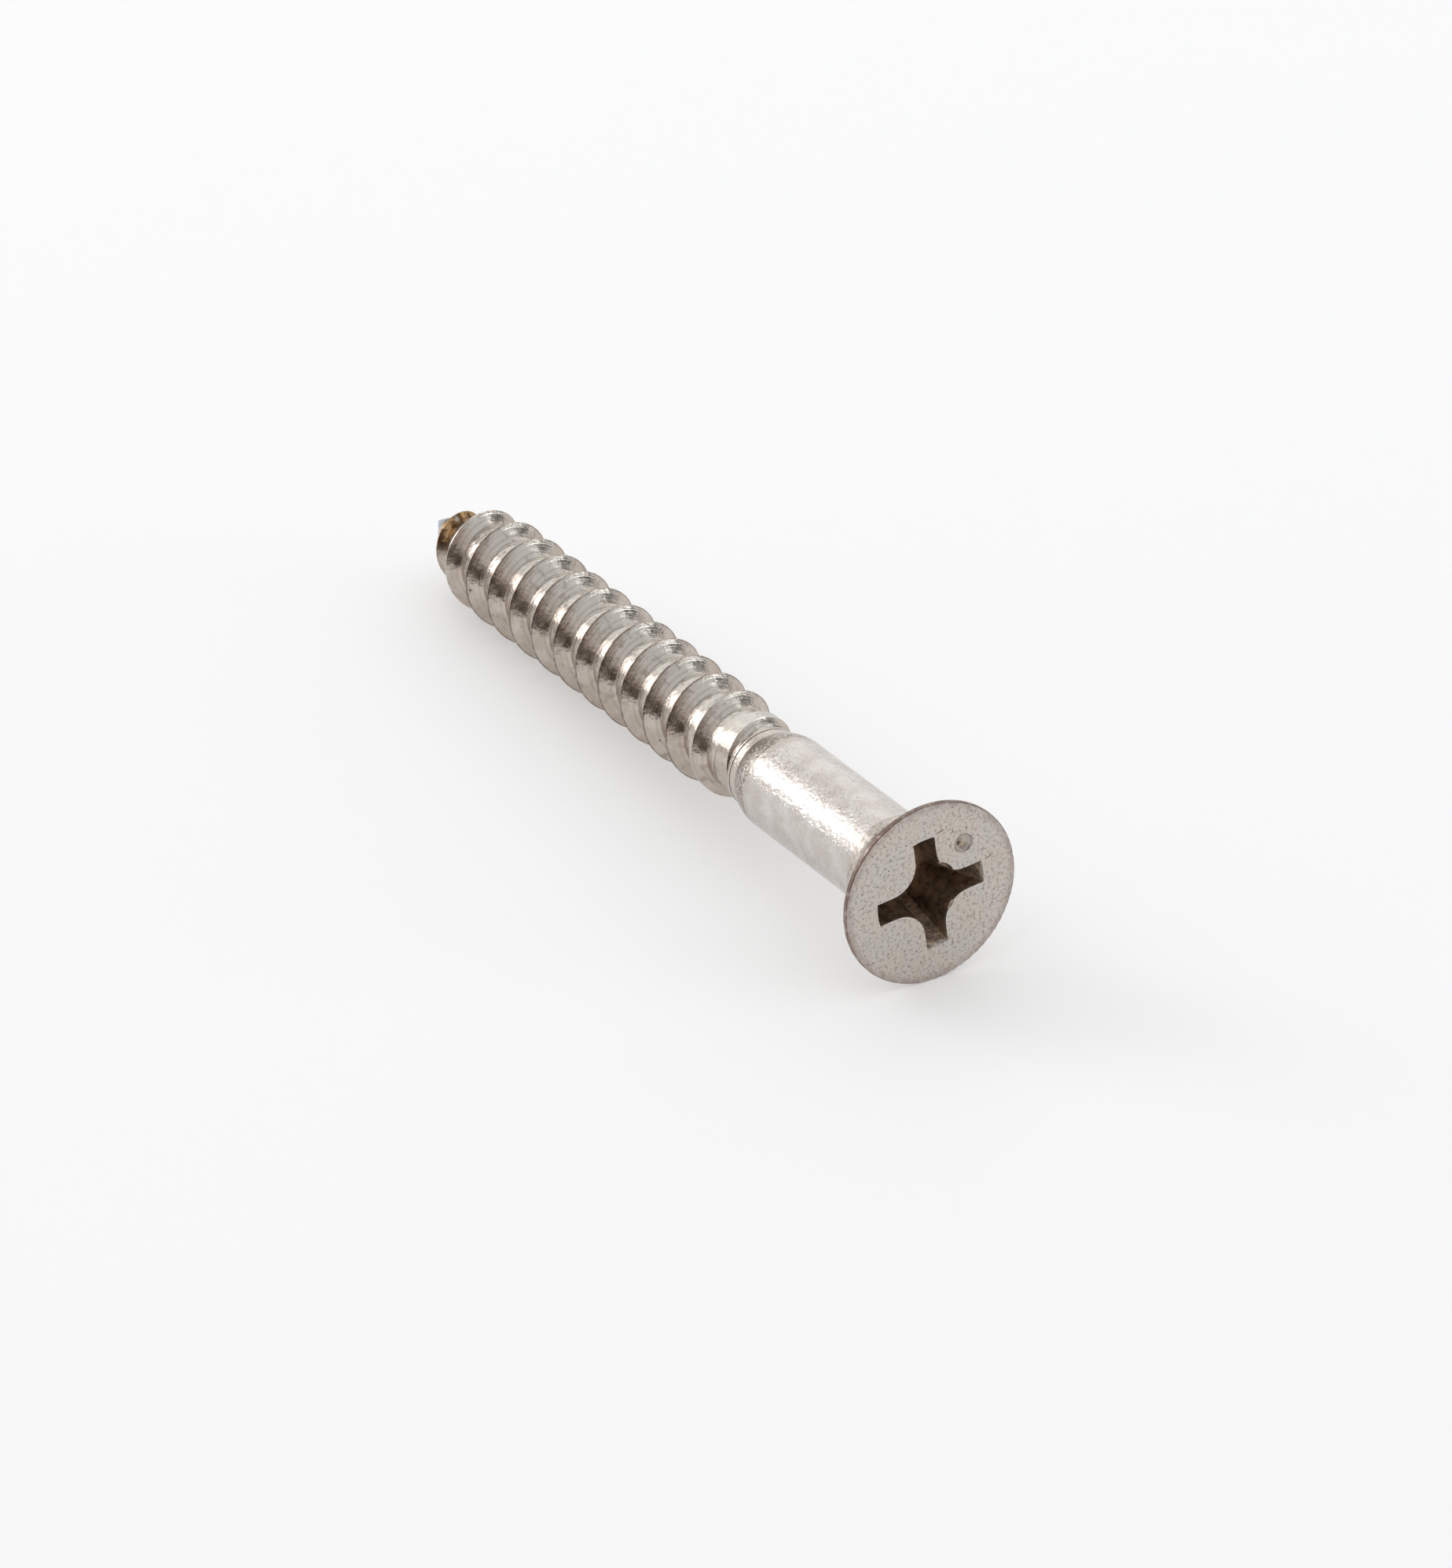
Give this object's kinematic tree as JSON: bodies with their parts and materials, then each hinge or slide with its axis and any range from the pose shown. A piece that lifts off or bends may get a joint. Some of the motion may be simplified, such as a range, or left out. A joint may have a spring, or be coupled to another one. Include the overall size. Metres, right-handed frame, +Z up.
{
  "type": "wood screw",
  "caption": "Countersunk wood screw with a cross recess, plain shank, coarse right-hand thread and pinched gimlet point.",
  "frame": {"origin": "centre of the head's flat face, on the screw's axis", "axes": "+X out of the head's face along the screw's axis, so the point is at -X; +Z up as the screw lies on a table; +Y completes a right-handed frame"},
  "size_m": [0.0381, 0.0076, 0.0076],
  "materials": {
    "nickel_head": "satin nickel plate, slightly pitted face",
    "nickel_shank": "bright nickel plate over an orange-peel surface",
    "nickel_neck": "bright nickel plate, finely turned",
    "nickel_thread": "bright polished flanks, satin root",
    "nickel_point": "bright nickel plate, last turn stained brown, raw blue-grey tip"
  },
  "bodies": {
    "root": {"head": "nickel_head", "shank": "nickel_shank", "neck": "nickel_neck", "thread": "nickel_thread", "gimlet_point": "nickel_point"}
  },
  "joints": []
}
